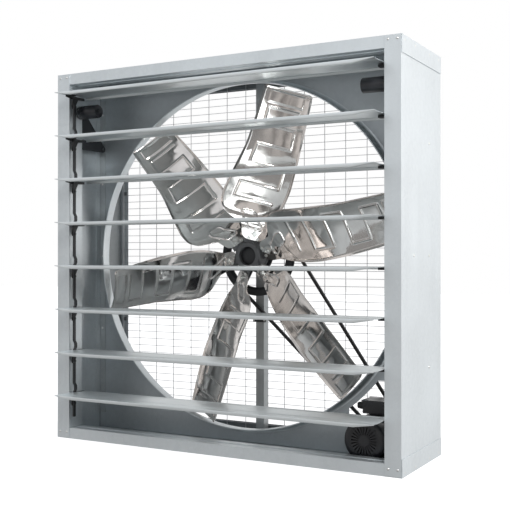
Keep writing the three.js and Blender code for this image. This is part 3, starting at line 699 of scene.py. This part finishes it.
def blade_mesh():
    """The twisted sheet along +X, with the trailing edge towards +Z and forward."""
    along, across = 220, 76
    first, last = STATIONS[0][0], STATIONS[-1][0]
    front, back = [], []
    bm = bmesh.new()
    for i in range(along + 1):
        radius = first + (last - first) * i / along
        _, chord, shift, pitch, depth = eased_station(radius)
        if radius > last - 12:
            chord = 178 - 24 * (1 - math.sqrt(max(0.0, 1 - ((radius - last + 12) / 12) ** 2)))
        if radius < first + 20:
            chord *= 0.55 + 0.45 * math.sqrt(max(0.0, 1 - ((first + 20 - radius) / 20) ** 2))
        pitch = math.radians(pitch)
        bowed = smoothstep(120, 220, radius)
        rows = ([], [])
        for j in range(across + 1):
            share = j / across - 0.5
            bow = 0.07 * chord * bowed * (1 - 4 * share * share)
            lift = emboss(radius, share * chord, chord) * smoothstep(92, 104, radius)
            c = shift + share * chord
            for row, offset in zip(rows, (-1.0, 0.6)):
                n = bow - lift + offset
                row.append(
                    bm.verts.new(
                        (
                            radius,
                            deep(depth) - c * math.sin(pitch) + n * math.cos(pitch),
                            c * math.cos(pitch) + n * math.sin(pitch),
                        )
                    )
                )
        front.append(rows[0])
        back.append(rows[1])
    for i in range(along):
        for j in range(across):
            bm.faces.new((front[i][j], front[i][j + 1], front[i + 1][j + 1], front[i + 1][j]))
            bm.faces.new((back[i][j], back[i + 1][j], back[i + 1][j + 1], back[i][j + 1]))
        for j in (0, across):
            bm.faces.new((front[i][j], front[i + 1][j], back[i + 1][j], back[i][j]))
    for j in range(across):
        for i in (0, along):
            bm.faces.new((front[i][j], back[i][j], back[i][j + 1], front[i][j + 1]))
    return as_mesh(bm, "blade")


ROOT = (84, 36, 261.5)  # radius, pitch and depth of the blade's bolted joint


def on_root(bm, verts, offset):
    """Moves a piece made flat about the origin, its front towards -Y, onto the blade's root."""
    radius, pitch, depth = ROOT
    turn = Matrix.Rotation(math.radians(pitch), 4, "X")
    lift = Matrix.Translation((0, offset, 0))
    return moved(bm, verts, Matrix.Translation((radius, deep(depth), 0)) @ turn @ lift)


def around(index):
    """The turn about the fan's axis that takes +X to a blade, as a matrix in metres."""
    turn = Matrix.Rotation(-math.radians(BLADE_PHASE + index * 360 / BLADES), 4, "Y")
    return Matrix.Translation((0, 0, AXIS * MM)) @ turn


def clamp_mesh():
    """A diamond washer under the middle bolt, and three smaller bolts round it."""
    bm = bmesh.new()
    diamond = [(-15, 0), (0, -15), (15, 0), (0, 15)]
    verts = plate(bm, rounded(diamond, 2), [], -3.0, 0)
    verts += hex_bolt(bm, at(0, -3.0, 0), 6.5)
    for x, z in ((-17, -17), (-17, 17), (22, 0)):
        verts += hex_bolt(bm, at(x, 0, z), 5)
    on_root(bm, verts, -1.4)
    return as_mesh(bm, "blade_clamp")


def impeller():
    blade, clamp = blade_mesh(), clamp_mesh()
    for i in range(BLADES):
        n = i + 1
        turn = around(i)
        placed(f"blade_skin_{n}", blade, STAINLESS, "impeller", f"blade_{n}", 0, 70, turn)
        placed(f"blade_bolts_{n}", clamp, ZINC, "impeller", f"blade_clamp_{n}", 0.4, 30, turn)
    hub = bmesh.new()
    profile = [
        (34, deep(251)), (35.5, deep(250)), (49, deep(250)), (53, deep(254)), (53, deep(262)),
        (50, deep(266)), (50, deep(310)), (53, deep(314)), (53, deep(321)), (52, deep(322)),
        (31.3, deep(322)), (31.3, deep(306)), (26, deep(306)), (26, deep(284)), (31.3, deep(284)),
        (31.3, deep(268)), (34, deep(268)),
    ]
    lathe(hub, profile, 64, (0, AXIS))
    for i in range(BLADES):
        arm = rounded([(-36, -30, 0), (35, -30, 10), (35, 30, 10), (-36, 30, 0)], 10)
        verts = on_root(hub, plate(hub, arm, [], -4, 4), 5.3)
        rib = on_root(hub, plate(hub, [(-34, -5), (26, -5), (26, 5), (-34, 5)], [], 3.5, 16), 5.3)
        turn = Matrix.Rotation(-math.radians(BLADE_PHASE + i * 60), 4, "Y")
        moved(hub, verts + rib, Matrix.Translation((0, 0, AXIS)) @ turn)
    build("hub_casting", hub, CAST_HUB, "impeller", "hub", bevel=0.8)
    cap = bmesh.new()
    dome = [(0, 262.2), (12, 262.2), (20, 262.8), (27, 264), (31, 265.6), (33.4, 266.6), (33.4, 267.6)]
    dome.append((0, 267.6))
    lathe(cap, [(r, deep(d)) for r, d in dome], 48, (0, AXIS))
    build("hub_dust_cap", cap, PLASTIC, "impeller", "hub_cap")
    for name in ("hub_bearing_front", "hub_bearing_rear"):
        cad(name, BRIGHT, 0.4)
    pulley("driven_sheave", "driven_pulley", "impeller", (0, AXIS), DRIVEN_RADIUS, DRIVEN_BORE, SPOKES)


def pulley(name, node, body, centre, pitch_radius, bore, spokes):
    """A grooved rim, and on a large pulley a boss and spokes."""
    y = deep(BELT_DEPTH)
    rim = pitch_radius + 8
    floor = pitch_radius - 5.5
    bm = bmesh.new()
    inner = rim - 22 if spokes else bore
    profile = [
        (inner, y - 10), (inner + 1, y - 11), (rim - 1, y - 11), (rim, y - 10), (rim, y - 8.6),
        (rim - 1, y - 7.4), (floor, y - 6.8), (floor, y + 6.8), (rim - 1, y + 7.4),
        (rim, y + 8.6), (rim, y + 10), (rim - 1, y + 11), (inner + 1, y + 11), (inner, y + 10),
    ]
    lathe(bm, profile, 96, centre)
    if spokes:
        openings = []
        for k in range(spokes):
            start, end = k * 360 / spokes, (k + 1) * 360 / spokes
            outline = arc(centre, 62, start + 8, end - 8, 8) + arc(centre, 119, end - 4.5, start + 4.5, 14)
            openings.append(outline)
        plate(bm, circle(centre, inner + 0.5, 96), [circle(centre, bore, 48), *openings], y - 3, y + 3)
        boss = [(bore, deep(322.3)), (48, deep(322.3)), (50, deep(324)), (50, y - 2), (bore, y - 2)]
        lathe(bm, boss, 48, centre)
        for k in range(6):
            a = math.radians(30 + 60 * k)
            hex_bolt(bm, at(centre[0] + 40 * math.cos(a), y + 3, centre[1] + 40 * math.sin(a), "+y"), 6)
    else:
        for k in range(3):
            a = math.radians(90 + 120 * k)
            hex_bolt(bm, at(centre[0] + 24 * math.cos(a), y + 11, centre[1] + 24 * math.sin(a), "+y"), 5)
    build(name, bm, CAST, body, node, bevel=0.5)


# ------------------------------------------------------------------ belt and motor


def belt():
    """A V section swept round the straight and wrapped runs of the belt line."""
    dx, dz = MOTOR_X, MOTOR_Z - AXIS
    heading = math.degrees(math.atan2(dz, dx))
    wrap = math.degrees(math.acos((DRIVEN_RADIUS - DRIVER_RADIUS) / math.hypot(dx, dz)))
    bm = bmesh.new()
    line = [((0, AXIS), DRIVEN_RADIUS, heading + wrap + (360 - 2 * wrap) * k / 60) for k in range(61)]
    line += [((MOTOR_X, MOTOR_Z), DRIVER_RADIUS, heading - wrap + 2 * wrap * k / 30) for k in range(31)]
    section = [(-5, -4.5), (-4.4, -5), (4.4, -6.5), (5, -6), (5, 6), (4.4, 6.5), (-4.4, 5), (-5, 4.5)]
    rings = []
    for (x, z), radius, a in line:
        ca, sa = math.cos(math.radians(a)), math.sin(math.radians(a))
        points = [(x + (radius + r) * ca, deep(BELT_DEPTH) + y, z + (radius + r) * sa) for r, y in section]
        rings.append([bm.verts.new(point) for point in points])
    count = len(section)
    for k in range(len(rings)):
        one, two = rings[k], rings[(k + 1) % len(rings)]
        for i in range(count):
            bm.faces.new((one[i], one[(i + 1) % count], two[(i + 1) % count], two[i]))
    build("belt_band", bm, RUBBER, "casing", "v_belt", angle=25)


def motor():
    centre = (MOTOR_X, MOTOR_Z)
    frame_bm = bmesh.new()
    fins = 36
    outline = []
    for k in range(fins):
        a = k * 360 / fins
        outline += arc(centre, 75, a, a + 3.2, 1) + arc(centre, 67, a + 4.6, a + 8.6, 1)
    plate(frame_bm, outline, [circle(centre, 62, 48)], deep(145), deep(288))
    shield = [(12.6, 136), (14, 134), (38, 134), (42, 136), (62, 139.5), (67, 141.5), (67, 146), (12.6, 146)]
    lathe(frame_bm, [(r, deep(d)) for r, d in shield], 48, centre)
    for side in (-1, 1):
        x0, x1 = sorted((MOTOR_X + side * 55, MOTOR_X + side * 67))
        box(frame_bm, (x0, x1), (deep(168), deep(265)), (8.6, 52))
        x0, x1 = sorted((MOTOR_X + side * 50, MOTOR_X + side * 84))
        foot = rounded([(x0, deep(165)), (x1, deep(165)), (x1, deep(268)), (x0, deep(268))], 5)
        verts = plate(frame_bm, foot, [], 8.6, 20.6)
        for v in verts:
            x, z, y = v.co
            v.co = (x, y, z)
        for depth in (182, 251):
            hex_bolt(frame_bm, at(MOTOR_X + side * 76, deep(depth), 20.6, "+z"), 6)
    build("motor_body", frame_bm, PAINT, "casing", "motor_frame", bevel=0.5, angle=28)
    rear = bmesh.new()
    profile = [(12.6, 288.3), (69, 288.3), (70, 289.3), (70, 295), (66, 297.5)]
    profile += [(44, 301), (36, 305), (14, 305), (12.6, 303.6)]
    lathe(rear, [(r, deep(d)) for r, d in profile], 48, centre)
    for k in range(4):
        a = math.radians(45 + 90 * k)
        hex_bolt(rear, at(MOTOR_X + 58 * math.cos(a), deep(297), MOTOR_Z + 58 * math.sin(a), "+y"), 4.5)
    build("motor_end_shield", rear, PAINT, "casing", "motor_shield_rear", bevel=0.4)
    cowl = bmesh.new()
    slots = []
    for k in range(24):
        a = math.radians(15 * k)
        u, v = Vector((math.cos(a), math.sin(a))), Vector((-math.sin(a), math.cos(a)))
        c = Vector(centre)
        slot = ((18, -1), (44, -2.2), (47, 0), (44, 2.2), (18, 1))
        slots.append([tuple(c + u * r + v * w) for r, w in slot])
    plate(cowl, circle(centre, 50, 96), slots, deep(94), deep(95.6))
    shell = [(49.5, 94), (56, 94), (66, 96.2), (71, 100.4), (72, 105), (72, 144)]
    shell += [(70.6, 144), (70.6, 105.5), (69.6, 101.6), (65, 97.8), (56, 95.6), (49.5, 95.6)]
    lathe(cowl, [(r, deep(d)) for r, d in shell], 72, centre)
    build("motor_cowl", cowl, PAINT, "casing", "motor_fan_cover", angle=30)
    trim = bmesh.new()
    for k in range(4):
        a = math.radians(45 + 90 * k)
        sheet_screw(trim, at(MOTOR_X + 53 * math.cos(a), deep(94), MOTOR_Z + 53 * math.sin(a)), 3)
    build("motor_cowl_screws", trim, CAST, "casing")
    terminal = bmesh.new()
    x0, x1 = MOTOR_X - 45, MOTOR_X + 45
    z0, z1 = MOTOR_Z + 75.3, MOTOR_Z + 117
    for lo, hi, grow in ((z0, z1 - 3, 0), (z1 - 2.6, z1 + 3, 3)):
        near, far = deep(170 - grow), deep(262 + grow)
        corners = [(x0 - grow, near), (x1 + grow, near), (x1 + grow, far), (x0 - grow, far)]
        verts = plate(terminal, rounded(corners, 8), [], lo, hi)
        for v in verts:
            x, z, y = v.co
            v.co = (x, y, z)
    build("terminal_housing", terminal, PAINT, "casing", "terminal_box", bevel=1.2)
    screws = bmesh.new()
    for x in (x0 + 5, x1 - 5):
        for depth in (175, 257):
            sheet_screw(screws, at(x, deep(depth), z1 + 2.9, "+z"), 3.2)
    build("terminal_screws", screws, ZINC, "casing")
    cad("cable_gland", PLASTIC, 0.6)
    cad("motor_base", PAINT, 0.8)
    cad("motor_stator", BRIGHT, 0.3)
    cad("motor_fan", PLASTIC, 0.4)
    shaft = bmesh.new()
    profile = [(0, 102), (10.4, 102), (11, 102.6), (11, 165), (39.8, 165)]
    profile += [(39.8, 265), (12, 265), (12, 348.2), (11.2, 349), (0, 349)]
    lathe(shaft, [(r, deep(d)) for r, d in profile], 40, centre)
    build("rotor_shaft", shaft, BRIGHT, "motor_shaft", "motor_rotor")
    pulley("driver_sheave", "motor_pulley", "motor_shaft", centre, DRIVER_RADIUS, DRIVER_BORE, 0)


# ------------------------------------------------------------------ louvers


def louver_sheet():
    """The folded blade. Its lip tapers at both ends, and its left rear corner clears the link bar."""
    rise, front, rear, lip = 4.2, 117, 44, 14
    link_x, link_y = -609, -27
    taper = 70
    path = [(rear - 3, rise - 10), (rear, rise - 10), (rear, rise), (28, rise), (24, rise - 1.6), (20, rise)]
    path += [(link_y, rise), (-74, rise), (-78, rise - 1.6), (-82, rise)]
    path += [(-front, rise), (-front, rise - lip), (-front + 8, rise - lip)]
    outline = bent(path, 1.0, 2.2)
    count = len(outline) // 2
    faces = (outline[:count], outline[count:][::-1])
    corner = next(i for i, point in enumerate(faces[0]) if point[0] <= link_y)
    sheet = bmesh.new()
    rows = []
    for x in (-LOUVER_HALF, link_x, -LOUVER_HALF + taper, LOUVER_HALF - taper, LOUVER_HALF):
        kept = 1 - 0.8 * max(0, abs(x) - LOUVER_HALF + taper) / taper
        row = []
        for face in faces:
            heights = [rise - (rise - z) * kept if y < -front + 9 and z < rise else z for y, z in face]
            row.append([sheet.verts.new((x, y, h)) for (y, z), h in zip(face, heights)])
        rows.append(row)

    def cap(row, start, end):
        for i in range(start, end):
            sheet.faces.new((row[0][i], row[0][i + 1], row[1][i + 1], row[1][i]))

    for k in range(len(rows) - 1):
        one, two = rows[k], rows[k + 1]
        start = corner if k == 0 else 0
        for side in (0, 1):
            for i in range(start, count - 1):
                sheet.faces.new((one[side][i], one[side][i + 1], two[side][i + 1], two[side][i]))
        for i in (start, count - 1):
            sheet.faces.new((one[0][i], two[0][i], two[1][i], one[1][i]))
    cap(rows[0], corner, count - 1)
    cap(rows[1], 0, corner)
    cap(rows[-1], 0, count - 1)
    bmesh.ops.delete(sheet, geom=[v for v in sheet.verts if not v.link_faces], context="VERTS")
    return as_mesh(sheet, "louver_sheet")


def louver_cap():
    """The black bearing block and stub at a louver's right end."""
    cap = bmesh.new()
    prism_x(cap, rounded([(-14, -9), (14, -9), (14, 3), (-14, 3)], 3), 604, LOUVER_HALF - 0.5)
    stub = lathe(cap, [(0, 0), (4, 0), (4, 11), (3.4, 11.6), (0, 11.6)], 20)
    moved(cap, stub, Matrix.Translation((LOUVER_HALF - 2, 0, 0)) @ Matrix.Rotation(-math.pi / 2, 4, "Z"))
    return as_mesh(cap, "louver_cap")


def crank_pin():
    """The head of the pin that joins a crank to the link bar."""
    pin = bmesh.new()
    head = lathe(pin, [(0, 0), (5.5, 0), (5.5, 1.6), (4.8, 2.4), (0, 2.6)], 20)
    moved(pin, head, Matrix.Translation((-612.3, -20, -38)) @ Matrix.Rotation(-math.pi / 2, 4, "Z"))
    return as_mesh(pin, "crank_pin")


def louvers():
    sheet, cap, pin = louver_sheet(), louver_cap(), crank_pin()
    for i in range(LOUVERS):
        body = f"louver_{i + 1}"
        z = LOUVER_TOP - i * LOUVER_PITCH
        spot = Matrix.Translation((0, deep(LOUVER_DEPTH) * MM, z * MM))
        placed(f"louver_blade_{i + 1}", sheet, LOUVER_SHEET, body, body, 0, 25, spot)
        placed(f"louver_cap_{i + 1}", cap, PLASTIC, body, (), 0.4, 30, spot)
        placed(f"crank_pin_{i + 1}", pin, CAST, body, (), 0.2, 30, spot)
        cad(f"crank_{i + 1}", PLASTIC, 0.6)
    cad("link_bar", PLASTIC, 0.5)


def hammers():
    """A weight across each upper corner, at the end of an arm that turns behind the side lip."""
    inner, outer, r = 537, 630, 25
    weight_depth, weight_height = 58, 1239
    pivot_depth, pivot_height = 236, 1120
    for side, sign in (("left", -1), ("right", 1)):
        cad(f"hammer_arm_{side}", PAINT, 0.8)
        profile = [(8.3, inner + 1), (22, inner + 1), (23.5, inner), (r, inner + 2.5), (r, outer - 2.5)]
        profile += [(23.5, outer), (8.3, outer)]
        roll = bmesh.new()
        place = Matrix.Translation((0, deep(weight_depth), weight_height))
        turn = Matrix.Rotation(-sign * math.pi / 2, 4, "Z")
        moved(roll, lathe(roll, profile, 56), place @ turn)
        body, weight = f"hammer_{side}", f"hammer_weight_{side}"
        build(f"hammer_roll_{side}", roll, PAINT, body, weight, angle=35)
        bolt = bmesh.new()
        inward = "-x" if sign > 0 else "+x"
        hex_bolt(bolt, at(sign * (inner + 1), deep(weight_depth), weight_height, inward), 8, 1.2)
        hex_bolt(bolt, at(sign * 655.8, deep(pivot_depth), pivot_height, inward), 7, 1.3)
        build(f"hammer_bolts_{side}", bolt, CAST, body)


# ------------------------------------------------------------------ stage, light and camera


CAMERA_PLACE = (1.6625, -2.9119, 0.6829)
CAMERA_YAW = 28.81
CAMERA_PITCH = 0.24
CAMERA_LENS = 64.9
ROOM_DARK = (0.15, 0.145, 0.14)
ROOM_LIGHT = (0.78, 0.75, 0.73)
ROOM_ABOVE = (0.95, 0.97, 1.0)
ROOM_BELOW = (0.36, 0.36, 0.36)
ROOM_BEHIND_DARK = (0.66, 0.66, 0.66)
ROOM_BEHIND_LIGHT = (1.0, 1.0, 1.0)
KEY_POWER = 110
SIDE_POWER = 49


def softbox(name, where, target, size, power, color=(1, 1, 1)):
    data = bpy.data.lights.new(name, "AREA")
    data.shape = "RECTANGLE"
    data.size, data.size_y = size
    data.energy = power
    data.color = color
    obj = bpy.data.objects.new(name, data)
    bpy.context.scene.collection.objects.link(obj)
    obj.location = where
    obj.rotation_euler = (Vector(target) - Vector(where)).to_track_quat("-Z", "Y").to_euler()


def stage():
    """A pale floor that only the camera sees, so the object's light comes from the studio alone."""
    bm = bmesh.new()
    bmesh.ops.create_grid(bm, x_segments=1, y_segments=1, size=14)
    mesh = bpy.data.meshes.new("floor")
    bm.to_mesh(mesh)
    bm.free()
    floor = bpy.data.objects.new("floor", mesh)
    floor.location.z = -0.001
    floor.visible_diffuse = False
    floor.visible_glossy = False
    bpy.context.scene.collection.objects.link(floor)
    pale = bpy.data.materials.new("floor")
    pale.use_nodes = True
    paint = pale.node_tree.nodes["Principled BSDF"].inputs
    paint["Base Color"].default_value = (0.6, 0.6, 0.6, 1)
    paint["Roughness"].default_value = 0.9
    paint["Emission Color"].default_value = (1, 1, 1, 1)
    paint["Emission Strength"].default_value = 0.62
    mesh.materials.append(pale)


def studio():
    """A white backdrop for the camera. The object sees a darker room in front, paler above and behind."""
    world = bpy.data.worlds.new("studio")
    bpy.context.scene.world = world
    world.use_nodes = True
    tree = world.node_tree

    def node(kind, **values):
        made = tree.nodes.new(kind)
        for key, value in values.items():
            setattr(made, key, value)
        return made

    def share(value, start, end):
        ranged = node("ShaderNodeMapRange", interpolation_type="SMOOTHSTEP")
        ranged.inputs["From Min"].default_value = start
        ranged.inputs["From Max"].default_value = end
        tree.links.new(value, ranged.inputs["Value"])
        return ranged.outputs["Result"]

    def mix(factor, a, b):
        mixed = node("ShaderNodeMix", data_type="RGBA")
        tree.links.new(factor, mixed.inputs["Factor"])
        for side, color in (("A", a), ("B", b)):
            if isinstance(color, tuple):
                mixed.inputs[side].default_value = (*color, 1)
            else:
                tree.links.new(color, mixed.inputs[side])
        return mixed.outputs["Result"]

    direction = node("ShaderNodeTexCoord").outputs["Generated"]
    axes = node("ShaderNodeSeparateXYZ")
    tree.links.new(direction, axes.inputs["Vector"])
    room = node("ShaderNodeTexNoise")
    room.inputs["Scale"].default_value = 3.6
    room.inputs["Detail"].default_value = 2.5
    tree.links.new(direction, room.inputs["Vector"])
    patches = share(room.outputs["Fac"], 0.44, 0.56)
    walls = mix(patches, ROOM_DARK, ROOM_LIGHT)
    raised = mix(share(axes.outputs["Z"], -0.12, 0.45), walls, ROOM_ABOVE)
    lowered = mix(share(axes.outputs["Z"], -0.05, -0.3), raised, ROOM_BELOW)
    behind = mix(patches, ROOM_BEHIND_DARK, ROOM_BEHIND_LIGHT)
    around = mix(share(axes.outputs["Y"], -0.1, 0.45), lowered, behind)
    seen = mix(node("ShaderNodeLightPath").outputs["Is Camera Ray"], around, (1.0, 1.0, 1.0))
    tree.links.new(seen, tree.nodes["Background"].inputs["Color"])
    softbox("key_right", (2.7, -2.5, 3.0), (0.2, 0, 0.8), (1.5, 1.2), KEY_POWER)
    softbox("side_right", (4.0, 2.0, 1.5), (0.6, 0, 0.7), (2.6, 2.8), SIDE_POWER, (1, 0.965, 0.95))
    view = bpy.context.scene.view_settings
    view.view_transform = "Standard"
    view.look = "None"


def camera():
    """A long lens to the right of the fan's front, level with its axis."""
    data = bpy.data.cameras.new("camera")
    data.lens = CAMERA_LENS
    data.sensor_width = 36
    obj = bpy.data.objects.new("camera", data)
    bpy.context.scene.collection.objects.link(obj)
    obj.location = CAMERA_PLACE
    yaw, pitch = math.radians(CAMERA_YAW), math.radians(CAMERA_PITCH)
    ahead = Vector((-math.sin(yaw) * math.cos(pitch), math.cos(yaw) * math.cos(pitch), math.sin(pitch)))
    obj.rotation_euler = ahead.to_track_quat("-Z", "Y").to_euler()
    bpy.context.scene.camera = obj


camera()
stage()
studio()
casing()
venturi()
rear_guard()
strut()
impeller()
belt()
motor()
louvers()
hammers()
